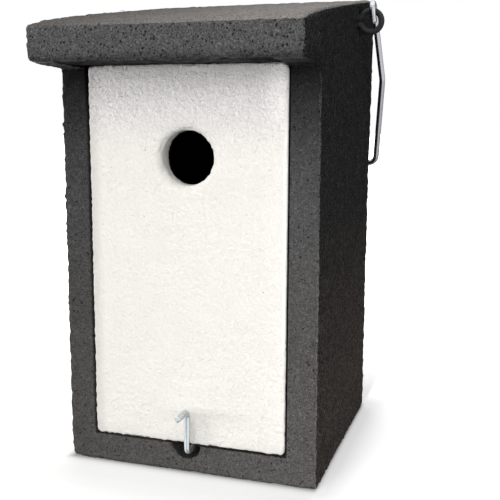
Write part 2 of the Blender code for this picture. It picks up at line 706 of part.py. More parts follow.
def make_hanging_bail(material):
    """Make the bail, hooked over both eyes, with its bar at rest on the back wall."""
    eye_x = HALF_WIDTH + EYE_STANDOFF
    front_x = eye_x + BAIL_CROOK_SHIFT + BAIL_CROOK_TWIST / 2
    back_x = eye_x + BAIL_CROOK_SHIFT - BAIL_CROOK_TWIST / 2
    kink_x = eye_x + BAIL_KINK_SPREAD
    corner_x = HALF_WIDTH + BAIL_SIDE_CLEARANCE + BAIL_WIRE_RADIUS
    crook = BAIL_CROOK_RADIUS
    right = [
        (Vector((front_x + BAIL_TIP_SPLAY, -crook, -BAIL_TIP_LENGTH)), 0),
        (Vector((front_x, -crook, crook)), crook),
        (Vector((back_x, crook, crook)), crook),
        (Vector((kink_x, crook, -BAIL_KINK_DROP)), BAIL_KINK_RADIUS),
        (Vector((corner_x, crook, -BAIL_DROP)), BAIL_CORNER_RADIUS),
    ]
    left = [(Vector((-point.x, point.y, point.z)), radius) for point, radius in right[::-1]]
    bail = wire("hanging_bail", bent_path(right + left), BAIL_WIRE_RADIUS, material)
    bail.location = BAIL_PIVOT
    bail.rotation_euler = (bail_tilt(), 0, 0)
    return bail


def main():
    """Make every piece of the nest box."""
    clear_scene()
    casing_grey = make_material("casing_grey", (0.062, 0.059, 0.057), 0.92, 0)
    panel_white = make_material("panel_white", (0.78, 0.76, 0.73), 0.9, 0)
    hook_zinc = make_material("hook_zinc", (0.66, 0.68, 0.7), 0.3, 1)
    plug_nylon = make_material("plug_nylon", (0.05, 0.05, 0.05), 0.55, 0)
    eye_paint = make_material("eye_paint", (0.022, 0.021, 0.022), 0.6, 0)
    bail_zinc = make_material("bail_zinc", (0.6, 0.62, 0.65), 0.28, 1)
    make_casing(casing_grey)
    make_front_panel(panel_white)
    make_latch_hook(hook_zinc)
    make_latch_plug(plug_nylon)
    make_eye("eye_left", -1, eye_paint)
    make_eye("eye_right", 1, eye_paint)
    make_hanging_bail(bail_zinc)


main()
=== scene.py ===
"""Looks of the woodcrete nest box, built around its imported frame.

The casing and the front panel are castings: each gets a finely meshed copy of its own
shape, worn at the edges and uneven like poured woodcrete. The hook gets a copy with a
thicker arm and thumb tab. The other wires and the plug keep their solids. Every piece has
a procedural finish. Metres, +Z up, the front faces -Y.
"""

from __future__ import annotations

import logging
import math
from dataclasses import dataclass, field
from enum import Enum
from typing import Any, Iterable, Optional, Union

import bpy
import numpy as np
from mathutils import Matrix, Vector


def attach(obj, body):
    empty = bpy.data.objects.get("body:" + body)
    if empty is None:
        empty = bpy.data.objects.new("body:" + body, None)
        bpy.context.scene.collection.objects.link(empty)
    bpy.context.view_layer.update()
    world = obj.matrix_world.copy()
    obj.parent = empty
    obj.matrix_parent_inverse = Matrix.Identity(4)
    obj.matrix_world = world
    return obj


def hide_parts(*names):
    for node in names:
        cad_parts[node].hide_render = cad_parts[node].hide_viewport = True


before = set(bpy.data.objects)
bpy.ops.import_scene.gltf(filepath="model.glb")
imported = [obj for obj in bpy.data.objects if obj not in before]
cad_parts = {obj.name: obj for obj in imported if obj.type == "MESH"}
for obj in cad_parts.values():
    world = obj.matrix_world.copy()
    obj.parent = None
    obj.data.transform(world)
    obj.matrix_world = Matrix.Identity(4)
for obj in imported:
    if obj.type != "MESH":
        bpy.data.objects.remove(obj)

LOG = logging.getLogger("nest_box")
MM = 0.001

# Planes and slopes of the object that its meshes and finishes follow
LIP_FACE = 114.2 * MM
LIP_TOP = 265.6 * MM
ROOF_RUN = 191.2 * MM
ROOF_SLOPE = math.tan(math.radians(10))
HOLE_X = 1.0 * MM
HOLE_Z = 193.2 * MM

# Height that the lists of painted light and shade reach up to, and how far the lists of the
# floor's glow and painted shadow reach
SHADES_TOP = 0.3
GLOW_REACH = 0.6

WHITE = (1.0, 1.0, 1.0)
BLACK = (0.004, 0.004, 0.004)

Colour = tuple[float, float, float]
Triple = tuple[float, float, float]
Shades = tuple[tuple[float, float], ...]


class Body(Enum):
    """The bodies that the new pieces ride on."""

    BOX = "box"
    PANEL = "panel"
    LATCH = "latch"


class Slot(Enum):
    """Names of the material slots that the new pieces carry; nothing in this script reads them.
    """

    CASING = "casing"
    PANEL = "panel"
    HOOK = "hook"


class Streak(Enum):
    """The way that streaks of a finish run, as how far its pattern is squeezed on each axis."""

    EVEN = (1.0, 1.0, 1.0)
    ALONG_X = (0.06, 1.0, 1.0)
    ALONG_Z = (1.0, 1.0, 0.05)
    DOWN = (1.0, 0.7, 0.24)


class Signal:
    """A node's output that works in Python expressions, such as 1 - mask or grain * 0.3."""

    def __init__(self, graph: Graph, socket: bpy.types.NodeSocket) -> None:
        """Wrap a socket.

        Args:
            graph: The graph that holds the socket's node.
            socket: The output that the expressions read.
        """
        self.graph = graph
        self.socket = socket

    @property
    def is_vector(self) -> bool:
        """Whether the output is a colour or a vector."""
        return self.socket.type in {"VECTOR", "RGBA"}

    def _work(self, operation: str, first: Operand, second: Operand) -> Signal:
        """Add the node that works out one operation on two operands.

        Args:
            operation: The name that Math and Vector Math both give the operation.
            first: The left operand.
            second: The right operand.

        Returns:
            The node's output.
        """
        operands = (first, second)
        vectors = any(isinstance(item, tuple) or _is_vector(item) for item in operands)
        kind = "ShaderNodeVectorMath" if vectors else "ShaderNodeMath"
        values = {
            index: (item,) * 3 if vectors and isinstance(item, (int, float)) else item
            for index, item in enumerate(operands)
        }
        return self.graph.node(kind, {"operation": operation}, values)

    def __add__(self, other: Operand) -> Signal:
        """Return self + other."""
        return self._work("ADD", self, other)

    def __radd__(self, other: Operand) -> Signal:
        """Return other + self."""
        return self._work("ADD", other, self)

    def __sub__(self, other: Operand) -> Signal:
        """Return self - other."""
        return self._work("SUBTRACT", self, other)

    def __rsub__(self, other: Operand) -> Signal:
        """Return other - self."""
        return self._work("SUBTRACT", other, self)

    def __mul__(self, other: Operand) -> Signal:
        """Return self * other."""
        return self._work("MULTIPLY", self, other)

    def __rmul__(self, other: Operand) -> Signal:
        """Return other * self."""
        return self._work("MULTIPLY", other, self)

    def __neg__(self) -> Signal:
        """Return -self."""
        return self * -1.0

    def __pow__(self, other: Operand) -> Signal:
        """Return self to the power of other."""
        return self._work("POWER", self, other)

    def __abs__(self) -> Signal:
        """Return the distance from zero, for a value or for each part of a vector."""
        if self.is_vector:
            return self.graph.node("ShaderNodeVectorMath", {"operation": "ABSOLUTE"}, {0: self})
        return self.graph.node("ShaderNodeMath", {"operation": "ABSOLUTE"}, {0: self})

    def most(self, other: Operand) -> Signal:
        """Return the larger of self and other."""
        return self._work("MAXIMUM", self, other)

    def between(self, low: float, high: float) -> Signal:
        """Return a soft mask that climbs from 0 at low to 1 at high.

        Args:
            low: The value where the mask is 0. It may be above high.
            high: The value where the mask is 1.

        Returns:
            The mask, held between 0 and 1.
        """
        flipped = low > high
        ends = {"From Min": min(low, high), "From Max": max(low, high)}
        sockets = {"Value": self, **ends, "To Min": float(flipped), "To Max": float(not flipped)}
        settings = {"interpolation_type": "SMOOTHSTEP", "clamp": True}
        return self.graph.node("ShaderNodeMapRange", settings, sockets)

    def span(self, low: float, high: float) -> Signal:
        """Return the soft mask between two places.

        Args:
            low: The place where the mask is 0, in millimetres.
            high: The place where the mask is 1, in millimetres.

        Returns:
            The mask, held between 0 and 1.
        """
        return self.between(low * MM, high * MM)

    def parts(self) -> tuple[Signal, Signal, Signal]:
        """Return the three parts of a vector."""
        first = self.graph.node("ShaderNodeSeparateXYZ", {}, {"Vector": self})
        x, y, z = (Signal(self.graph, output) for output in first.socket.node.outputs)
        return x, y, z


Operand = Union[Signal, float, tuple]
Sockets = dict[Union[int, str], Any]


def _is_vector(item: Any) -> bool:
    """Return whether an operand is a signal that carries a vector or colour."""
    return isinstance(item, Signal) and item.is_vector


class Graph:
    """The node tree of a material or a surround. Its method add makes every node in it."""

    def __init__(self, name: str, owners: Any = None) -> None:
        """Make an empty tree.

        Args:
            name: The name of the tree's owner.
            owners: The collection that the owner goes into, else the materials.
        """
        self.owner = (bpy.data.materials if owners is None else owners).new(name)
        self.owner.use_nodes = True
        self.tree = self.owner.node_tree
        self.tree.nodes.clear()
        outputs = self.add("ShaderNodeTexCoord", {}, {}).outputs
        self.position = Signal(self, outputs["Object"])
        self.normal = Signal(self, outputs["Normal"])
        self.direction = Signal(self, outputs["Generated"])

    def add(self, kind: str, settings: dict[str, Any], sockets: Sockets) -> bpy.types.Node:
        """Add a node, set it up and link it.

        Args:
            kind: The node's type.
            settings: Its properties, set first. "stops" holds a ramp's (place, colour) pairs.
            sockets: The value of each input, or the signal that is linked to it.

        Returns:
            The node.
        """
        made = self.tree.nodes.new(kind)
        for name, value in settings.items():
            if name == "stops":
                self._set_stops(made.color_ramp, value)
            else:
                setattr(made, name, value)
        for name, value in sockets.items():
            if isinstance(value, Signal):
                self.tree.links.new(value.socket, made.inputs[name])
            else:
                made.inputs[name].default_value = value
        return made

    def node(
        self,
        kind: str,
        settings: dict[str, Any],
        sockets: Sockets,
        output: Union[int, str] = 0,
    ) -> Signal:
        """Add a node and return one of its outputs.

        Args:
            kind: The node's type.
            settings: Its properties, as for add.
            sockets: The value or the signal of each input, as for add.
            output: The output to return.

        Returns:
            The chosen output.
        """
        return Signal(self, self.add(kind, settings, sockets).outputs[output])

    @staticmethod
    def _set_stops(ramp: bpy.types.ColorRamp, stops: Iterable[tuple[float, Colour]]) -> None:
        """Put the stops on a colour ramp.

        Args:
            ramp: The ramp, which has its two first stops.
            stops: The place and colour of each stop, from left to right.
        """
        for place, colour in stops:
            ramp.elements.new(place).color = (*colour, 1)
        ramp.elements.remove(ramp.elements[0])
        ramp.elements.remove(ramp.elements[-1])

    def noise(
        self,
        cell: float,
        detail: float = 2,
        roughness: float = 0.5,
        streak: Streak = Streak.EVEN,
        swirl: float = 0,
        shift: Triple = (0.0, 0.0, 0.0),
    ) -> Signal:
        """Return a soft noise from 0 to 1.

        Args:
            cell: The size of its lumps in metres.
            detail: How many finer layers it has.
            roughness: How strong the finer layers are.
            streak: The way that it is drawn out.
            swirl: How far its lumps are bent round each other.
            shift: How far it is moved.

        Returns:
            The noise's value.
        """
        place = self.position + shift if any(shift) else self.position
        place = place * streak.value if streak is not Streak.EVEN else place
        sockets = {"Vector": place, "Scale": 1 / cell, "Detail": detail}
        sockets.update({"Roughness": roughness, "Distortion": swirl})
        return self.node("ShaderNodeTexNoise", {}, sockets, "Fac")

    def dots(self, cell: float, low: float, high: float) -> Signal:
        """Return scattered round dots, 1 in their middles and 0 between them.

        Args:
            cell: The size of the cells that hold one dot each, in metres.
            low: The dot's flat middle, as a share of the cell.
            high: The dot's rim, as a share of the cell.

        Returns:
            The mask of the dots.
        """
        sockets = {"Vector": self.position, "Scale": 1 / cell}
        spread = self.node("ShaderNodeTexVoronoi", {}, sockets, "Distance")
        return spread.between(high, low)

    def grade(self, value: Signal, top: float, shades: Shades) -> Signal:
        """Return a grey that follows a value along a list of shades.

        Args:
            value: What the shades follow.
            top: The value at the list's far end. Its near end is 0.
            shades: The value and the grey of each stop, from the lowest value up.

        Returns:
            The grey.
        """
        stops = [(place / top, (grey / 2,) * 3) for place, grey in shades]
        ramp = self.node("ShaderNodeValToRGB", {"stops": stops}, {"Fac": value * (1 / top)})
        return ramp * 2

    def mix(self, factor: Operand, first: Operand, second: Operand) -> Signal:
        """Return a colour between two colours.

        Args:
            factor: 0 gives the first, 1 the second.
            first: The first colour.
            second: The second colour.

        Returns:
            The mixed colour.
        """
        ends = [(*end, 1) if isinstance(end, tuple) else end for end in (first, second)]
        sockets = {0: factor, 6: ends[0], 7: ends[1]}
        return self.node("ShaderNodeMix", {"data_type": "RGBA"}, sockets, 2)

    def bump(self, height: Signal, depth: float) -> Signal:
        """Return the normal of a finely uneven surface.

        Args:
            height: The height pattern, from 0 to 1.
            depth: What 1 stands for, in metres.

        Returns:
            The bumped normal.
        """
        sockets = {"Height": height, "Distance": depth, "Strength": 1.0}
        return self.node("ShaderNodeBump", {}, sockets, "Normal")

    def finish(self, **sockets: Any) -> bpy.types.Material:
        """Close the tree with a Principled shader.

        Args:
            **sockets: Its inputs, with _ for a space, such as Base_Color.

        Returns:
            The material.
        """
        named = {}
        for key, value in sockets.items():
            colour = isinstance(value, tuple) and len(value) == 3
            named[key.replace("_", " ")] = (*value, 1) if colour else value
        shader = self.node("ShaderNodeBsdfPrincipled", {}, named)
        self.add("ShaderNodeOutputMaterial", {}, {"Surface": shader})
        return self.owner


@dataclass(frozen=True)
class CastingFaces:
    """Where a point of the casing is, and soft masks of the faces that it may be on."""

    x: Signal
    y: Signal
    z: Signal
    edge: Signal
    roof: Signal
    side: Signal
    front: Signal
    lip: Signal
    lip_face: Signal
    under_lip: Signal

    @classmethod
    def read(cls, graph: Graph) -> CastingFaces:
        """Read the places and the masks.

        Args:
            graph: The graph of the casing's material.

        Returns:
            The places and the masks.
        """
        x, y, z = graph.position.parts()
        across, ahead, up = abs(graph.normal).parts()
        lip = z.span(245.5, 247.5) * (-y).span(79, 82)
        behind = y + LIP_FACE
        along = (behind * (1 / ROOF_RUN)).most(0.0)
        crown = (along**0.5 - along) * 10.0 * MM
        over_roof = z - LIP_TOP - behind * ROOF_SLOPE - crown
        rounding = x.span(75.5, 77) * behind.span(1, 3)
        roof = (over_roof + rounding * 0.5 * MM).span(-0.9, -0.5)
        roof = roof * rounding.most(up.between(0.30, 0.52))
        side = abs(x).span(77.5, 78.5) * across.between(0.45, 0.7) * (1 - roof)
        under_lip = up.between(0.5, 0.9) * (-y).span(77.5, 79) * z.span(247.6, 246.6)
        return cls(
            x,
            y,
            z,
            edge=1 - across.most(ahead.most(up)),
            roof=roof,
            side=side,
            front=(-y).span(73.5, 76.5) * (1 - lip) * (1 - side),
            lip=lip,
            lip_face=z.span(246, 250) * (-y).span(100, 110),
            under_lip=under_lip * (-y).span(113.6, 111.6),
        )


@dataclass(frozen=True)
class GreyWoodcrete:
    """Anthracite woodcrete: mottled and pitted, with dust on its top, painted shade that darkens
    it towards the roof, and painted light on its right.
    """

    body: Colour = (0.078, 0.078, 0.079)
    warm: Colour = (0.081, 0.078, 0.076)
    umber: Colour = (0.100, 0.088, 0.080)
    roof: Colour = (0.235, 0.220, 0.211)
    roof_streak: Colour = (0.185, 0.172, 0.162)
    rub: Colour = (0.26, 0.255, 0.245)
    chip: Colour = (0.50, 0.46, 0.40)
    # Painted shade by height: the front darkens up into the lip's shadow and the side darkens
    # towards the roof.
    front_painted_shade: Shades = (
        (0.0, 1.26), (0.04, 1.24), (0.10, 1.10), (0.164, 1.02), (0.19, 0.90),
        (0.213, 0.60), (0.24, 0.25),
    )
    side_painted_shade: Shades = (
        (0.0, 1.24), (0.04, 1.42), (0.10, 1.04), (0.16, 0.66), (0.299, 0.47),
    )
    recess: tuple[float, float] = (-1.4 * MM, 17.1 * MM)

    def material(self) -> bpy.types.Material:
        """Return the finish as a material."""
        graph = Graph("grey_woodcrete")
        faces = CastingFaces.read(graph)
        mottle = graph.noise(1.4 * MM, 3, 0.6, swirl=1.6).between(0.30, 0.70)
        fine = graph.noise(0.8 * MM, 2, 0.6).between(0.3, 0.7)
        grit = graph.noise(0.95 * MM, 2, 0.7, swirl=0.6).between(0.34, 0.66)
        broad = graph.noise(10 * MM, 3, 0.6)
        brushed = graph.noise(2.6 * MM, 4, 0.62, Streak.ALONG_X)
        streaks = graph.noise(2.0 * MM, 3, 0.6, Streak.DOWN, 1.2)
        pits, small_pits = self.pits(graph, faces)
        contrast = 0.80 - faces.lip * 0.10 + faces.side * 1.1
        colour = self.tint_and_painted_light(graph, faces)
        colour = colour * (1 + (mottle - 0.5) * contrast) * (0.84 + fine * 0.32)
        colour = colour * (1 + (grit - 0.5) * (faces.lip * 0.75 + faces.side * 0.9))
        colour = colour * (0.88 + broad * 0.24)
        dust = 0.55 + 0.90 * (mottle * 0.45 + grit * 0.55)
        # Dust on the roof, with painted light towards its right.
        roof_dust_and_painted_light = self.streaked_roof_with_painted_light(graph, brushed, faces.x) * dust
        colour = graph.mix(faces.roof * (0.85 + 0.15 * fine), colour, roof_dust_and_painted_light)
        colour = colour * (1 - faces.side * (streaks.between(0.60, 0.36) * 0.35))
        colour = self.rubbed_edges(graph, faces, fine, colour)
        # Painted shade in the hook's recess and in the gaps round the panel.
        colour = colour * (1 - self.seat_shadow(graph, faces) * 0.85)
        colour = self.chips_and_flecks(graph, faces, colour)
        colour = graph.mix(pits.most(small_pits * 0.8) * 0.85, colour, BLACK)
        # The chamber's inside is painted black as shade.
        colour = graph.mix(self.chamber(faces), colour, BLACK)
        height = mottle * 0.45 + fine * 0.12 + broad * 0.3 - pits * 0.8 - small_pits * 0.5
        height = height + streaks * faces.side * 0.5 + brushed * faces.roof * 0.3
        return graph.finish(
            Base_Color=colour,
            Roughness=0.88 + 0.1 * fine,
            Normal=graph.bump(height, 1.0 * MM),
            Specular_IOR_Level=0.04,
        )

    def pits(self, graph: Graph, faces: CastingFaces) -> tuple[Signal, Signal]:
        """Return the pits of the surface, most of them on the lip.

        Args:
            graph: The material's graph.
            faces: The faces of the casing.

        Returns:
            The masks of the large and of the small pits.
        """
        large = graph.dots(4.0 * MM, 0.07, 0.19) * graph.noise(12 * MM, 1).between(0.40, 0.54)
        on_lip = graph.dots(2.6 * MM, 0.14, 0.29) * graph.noise(6 * MM, 1).between(0.40, 0.52)
        clusters = graph.noise(3.4 * MM, 1).between(0.46, 0.60).most(faces.lip_face * 0.4)
        small = graph.dots(1.9 * MM, 0.10, 0.34) * clusters
        return large.most(on_lip * faces.lip_face), small

    def tint_and_painted_light(self, graph: Graph, faces: CastingFaces) -> Signal:
        """Return the grey with its warm and umber tints, and with painted light and shade on
        each face.

        Args:
            graph: The material's graph.
            faces: The faces of the casing.

        Returns:
            The colour.
        """
        x, z = faces.x, faces.z
        colour = graph.mix(z.span(200, 60) * (1 - faces.lip), self.body, self.warm)
        colour = graph.mix(faces.side * z.span(200, 50), colour, self.umber)
        # Painted shade by height on the front and on the side.
        front_grade = graph.grade(z, SHADES_TOP, self.front_painted_shade)
        side_grade = graph.grade(z, SHADES_TOP, self.side_painted_shade)
        colour = colour * graph.mix(faces.front, WHITE, front_grade)
        # Painted light: the front and the lip grow lighter towards the right.
        colour = colour * (1 + x * (faces.front * 2.4 + faces.lip * 0.4))
        colour = colour * graph.mix(faces.side, WHITE, side_grade)
        # Painted shade on the lip's low band, and painted light that lifts the lip's face.
        low_lip = faces.lip * z.span(254.5, 247.5)
        colour = colour * (1 - low_lip * 0.25) * (1 + faces.lip * 0.19)
        # Painted light that lifts the lip's underside, less of it towards the right.
        below = (-faces.y).span(86, 102) * 0.20 + 0.20
        below = below * (1 - x.span(30, 58) * 0.55)
        return graph.mix(faces.under_lip, colour, below)

    def streaked_roof_with_painted_light(self, graph: Graph, brushed: Signal, x: Signal) -> Signal:
        """Return the roof's colour with its streaks, and with painted light that makes its right
        side lighter.

        Args:
            graph: The material's graph.
            brushed: The streaks' pattern.
            x: The place from left to right.

        Returns:
            The colour.
        """
        streaked = graph.mix(brushed.between(0.33, 0.66), self.roof, self.roof_streak)
        # Painted light: lighter towards the right.
        return streaked * (0.92 + x * 5.2)

    def rubbed_edges(
        self, graph: Graph, faces: CastingFaces, fine: Signal, colour: Signal
    ) -> Signal:
        """Return the colour with the edges rubbed pale, most of all the front's right one.

        Args:
            graph: The material's graph.
            faces: The faces of the casing.
            fine: The fine grain's pattern.
            colour: The colour without it.

        Returns:
            The colour.
        """
        x, y, z = faces.x, faces.y, faces.z
        corner = x.span(78, 79) * (-y).span(74, 75.5) * z.span(242, 236)
        worn = corner * faces.edge.between(0.05, 0.2) * fine.between(0.1, 0.6)
        colour = graph.mix(worn * (0.35 + 0.4 * z.span(200, 100)), colour, self.rub)
        rubbed = faces.edge.between(0.08, 0.25) * fine.between(0.6, 0.9) * z.span(260, 250)
        return graph.mix(rubbed * 0.2, colour, self.rub)

    def seat_shadow(self, graph: Graph, faces: CastingFaces) -> Signal:
        """Return the mask of painted shade in the recess of the hook and along the rim round the
        panel.

        Args:
            graph: The material's graph.
            faces: The faces of the casing.

        Returns:
            The mask.
        """
        x, z, front = faces.x, faces.z, -faces.y
        wobble = graph.noise(2.2 * MM, 2, 0.6) * 1.2 * MM
        out = abs(x) - wobble
        low = z + wobble
        on_left = x.span(0, -10)
        high_left = out.span(64.6, 63) * on_left * z.span(205, 235) * 0.95
        left = out.span(64.8, 61.8) * on_left * 0.78
        right = abs(x).span(63.1, 62.6) * x.span(0, 10)
        sides = left.most(right).most(high_left) * low.span(17.5, 18.5)
        middle = abs(x).span(62.4, 61.8) * low.span(19.4, 20)
        rim = sides.most(middle) * z.span(247.5, 246) * front.span(65, 66)
        across = x - self.recess[0]
        down = z - self.recess[1]
        recess = ((across * across + down * down) ** 0.5).span(9.8, 8.6)
        recess = recess * z.span(19.5, 18.5) * front.span(76.8, 76) * front.span(50, 52)
        return rim.between(0.0, 1.0).most(recess * 0.8)

    def chips_and_flecks(self, graph: Graph, faces: CastingFaces, colour: Signal) -> Signal:
        """Return the colour with pale chips under the panel and a few flecks elsewhere.

        Args:
            graph: The material's graph.
            faces: The faces of the casing.
            colour: The colour without them.

        Returns:
            The colour.
        """
        x, y, z = faces.x, faces.y, faces.z
        sill = z.span(15.2, 16.4) * z.span(18.4, 17.6) * abs(x).span(65, 62)
        sill = sill * (-y).span(74.5, 76)
        chips = graph.dots(2.4 * MM, 0.10, 0.24) * graph.noise(7 * MM, 1).between(0.52, 0.62)
        colour = graph.mix(sill * chips * 0.8, colour, self.chip)
        flecks = graph.dots(5.2 * MM, 0.02, 0.065) * graph.noise(9 * MM, 1).between(0.5, 0.6)
        return graph.mix(flecks * 0.35 * (1 - faces.roof), colour, self.chip)

    def chamber(self, faces: CastingFaces) -> Signal:
        """Return the mask of the nest chamber's inside, which is painted black as shade.

        Args:
            faces: The faces of the casing.

        Returns:
            The mask.
        """
        front = -faces.y
        inside = abs(faces.x).span(60.5, 59.5) * front.span(65.5, 64.5)
        return inside * front.span(-62.5, -61.5) * faces.z.span(24, 25) * faces.z.span(262, 259)


@dataclass(frozen=True)
class WhiteWoodcrete:
    """White woodcrete with a rough plaster face, fine pores and a few dark specks, with painted
    light and shade over its face, in its gaps and round its hole.
    """

    body: Colour = (0.83, 0.812, 0.775)
    # Painted shade: the cooler tint of the band under the lip.
    shade_tint: Colour = (0.84, 0.822, 0.825)
    # Colour of the pores, and of the painted shade in the plaster's hollows.
    pore_and_hollow_shade: Colour = (0.50, 0.49, 0.485)
    # Colour of the painted highlights on the right edge and at the front of the hole's wall.
    bright: Colour = (0.90, 0.89, 0.86)
    speck: Colour = (0.12, 0.10, 0.085)
    # Painted light and shade by height, lightest at the very top under the lip.
    shades: Shades = (
        (0.0, 0.90), (0.04, 0.90), (0.12, 0.88), (0.18, 0.86), (0.20, 0.90), (0.216, 0.96),
        (0.226, 0.96), (0.234, 0.96), (0.240, 1.04), (0.246, 1.40),
    )

    def material(self) -> bpy.types.Material:
        """Return the finish as a material."""
        graph = Graph("white_woodcrete")
        x, y, z = graph.position.parts()
        plaster = graph.noise(2.1 * MM, 3, 0.62, swirl=0.9)
        grain = graph.noise(0.8 * MM, 2, 0.6)
        lip_shade_band = z.span(190, 238)
        pores = graph.dots(2.6 * MM, 0.05, 0.15) * graph.noise(8 * MM, 1).between(0.48, 0.62)
        specks = graph.dots(7 * MM, 0.02, 0.065) * graph.noise(17 * MM, 1).between(0.42, 0.55)
        edge_specks = graph.dots(2.8 * MM, 0.04, 0.13) * x.span(52, 60)
        specks = specks.most(edge_specks * 0.8)
        # Painted shade in the plaster's hollows, strongest under the lip.
        painted_hollow_shade = plaster.between(0.48, 0.30) * (0.14 + lip_shade_band * 0.26)
        # Painted shade: a cooler tint in the band under the lip.
        colour = graph.mix(lip_shade_band * 0.9, self.body, self.shade_tint)
        colour = graph.mix(painted_hollow_shade, colour, self.pore_and_hollow_shade)
        # Painted light on the plaster's high lumps under the lip.
        colour = colour * (1 + plaster.between(0.52, 0.68) * lip_shade_band * 0.08)
        # Painted light and shade on the plaster's lumps, strongest under the lip.
        colour = colour * (1 + self.painted_relief_light(graph) * (0.075 + lip_shade_band * 0.18))
        colour = self.tint_and_painted_light(graph, colour, x, z)
        colour = graph.mix(pores * 0.35, colour, self.pore_and_hollow_shade)
        colour = graph.mix(specks * 0.8, colour, self.speck)
        # Painted shade on the panel's sides, down in the gaps beside the casing.
        painted_gap_shade = (-y).span(76.8, 75.5) * abs(x).span(60, 61.2)
        colour = colour * (1 - painted_gap_shade * 0.95)
        # Painted shade round and inside the entrance hole.
        colour = self.painted_hole_shade(graph, colour, (x - HOLE_X, y, z - HOLE_Z))
        height = plaster * 0.7 + grain * 0.2 - pores * 0.5 - specks * 0.3
        return graph.finish(
            Base_Color=colour,
            Roughness=0.85 + 0.12 * grain,
            Normal=graph.bump(height * (0.35 + lip_shade_band * 1.15), 2.2 * MM),
            Specular_IOR_Level=0.1,
        )

    def painted_relief_light(self, graph: Graph) -> Signal:
        """Return painted light and shade on the plaster's lumps, as its height less its height
        nearby.

        Args:
            graph: The material's graph.

        Returns:
            The difference, which is 0 where the plaster is level.
        """
        lumps = {"cell": 2.6 * MM, "detail": 3, "roughness": 0.62, "swirl": 0.9}
        nearby = graph.noise(**lumps, shift=(-0.45 * MM, 0.0, -0.40 * MM))
        return (nearby - graph.noise(**lumps)) * 4.0

    def tint_and_painted_light(self, graph: Graph, colour: Signal, x: Signal, z: Signal) -> Signal:
        """Return the colour with a broad random tone, and with painted light and shade over the
        panel.

        Args:
            graph: The material's graph.
            colour: The colour without them.
            x: The place from left to right.
            z: The height.

        Returns:
            The colour.
        """
        broad = graph.noise(20 * MM, 2, 0.5)
        # A broad random tone, and painted light that grows towards the right.
        colour = colour * (0.97 + broad * 0.06) * (1.0 + x * 0.8)
        # Painted light and shade by height.
        colour = colour * graph.grade(z, SHADES_TOP, self.shades)
        # Painted shade at the left edge and at the bottom.
        colour = colour * (1 - x.span(-53, -60.5) * 0.16 - z.span(30, 19.5) * 0.06)
        # Painted light on the right, most of it near the top.
        colour = colour * (1 + x.span(44, 58) * (0.03 + z.span(205, 235) * 0.26))
        # Painted highlight along the right edge.
        rim = x.span(58.8, 60.2) * z.span(50, 90)
        return graph.mix(rim * 0.8, colour, self.bright)

    def painted_hole_shade(
        self, graph: Graph, colour: Signal, place: tuple[Signal, Signal, Signal]
    ) -> Signal:
        """Return the colour with painted shade round and inside the entrance hole.

        Args:
            graph: The material's graph.
            colour: The colour without it.
            place: The place from the hole's middle, with y from the middle of the box.

        Returns:
            The colour.
        """
        x, y, z = place
        facing = abs(graph.normal).parts()[1]
        away = (x * x + z * z) ** 0.5
        side = 0.2 + 0.8 * x.span(14, -12)
        # The dish's painted shade, most of it on the left.
        dish = away.span(21.5, 16) * side * 0.15
        depth = y + 76.8 * MM
        wall = away.span(17.4, 17) * facing.between(0.8, 0.5)
        # Painted shade from the dish, and a painted highlight on the front of the hole's wall.
        colour = graph.mix(wall * depth.span(0.4, 3), colour * (1 - dish), self.bright)
        # Painted shade: the wall darkens with depth.
        colour = colour * (1 - wall * depth.span(-2, 10.5) * 0.42)
        ragged = depth + graph.noise(1.6 * MM, 2, 0.6) * 2.6 * MM + abs(z) * 0.14 + 0.4 * MM
        # Painted shade: the hole turns black beyond a ragged depth.
        return graph.mix(wall * ragged.span(10.8, 11.4), colour, BLACK)


@dataclass(frozen=True)
class ZincWire:
    """Galvanised wire, with soft spangles, fine drawn lines and painted shade on its flanks.

    It can have painted light on the wire's left, which makes that side paler and less like a
    mirror.
    """

    name: str
    bright: Colour = (0.50, 0.51, 0.54)
    dull: Colour = (0.40, 0.41, 0.44)
    roughness: float = 0.16
    metal: float = 1.0
    left_painted_light: float = 0.0
    # Direction across the wire; the flanks that face along it get painted shade.
    painted_flank_shade: tuple[float, float] = (0.95, 0.31)

    def material(self) -> bpy.types.Material:
        """Return the finish as a material."""
        graph = Graph(self.name)
        spangle = graph.noise(2.4 * MM, 3, 0.6)
        drawn = graph.noise(0.7 * MM, 2, 0.5, Streak.ALONG_Z)
        stain = graph.noise(9 * MM, 3, 0.6)
        colour = graph.mix(spangle.between(0.62, 0.34) * 0.6, self.bright, self.dull)
        x, y, _ = graph.normal.parts()
        across = x * self.painted_flank_shade[0] + y * self.painted_flank_shade[1]
        # Painted shade on the wire's flanks.
        painted_flank_shade = abs(across).between(0.84, 0.99)
        colour = colour * (0.95 + stain * 0.1) * (1 - painted_flank_shade * 0.42)
        metal: Operand = self.metal
        if self.left_painted_light:
            # Painted light on the wire's left side, which turns it paler and less metallic.
            painted_left_sheen = (-across).between(0.10, 0.40) * (1 - painted_flank_shade) * self.left_painted_light
            colour = colour * (1 + painted_left_sheen * 0.35)
            metal = self.metal - painted_left_sheen * 0.75
        return graph.finish(
            Base_Color=colour,
            Metallic=metal,
            Roughness=self.roughness + 0.06 * spangle + 0.06 * stain,
            Normal=graph.bump(drawn * 0.5 + spangle * 0.5, 0.02 * MM),
        )


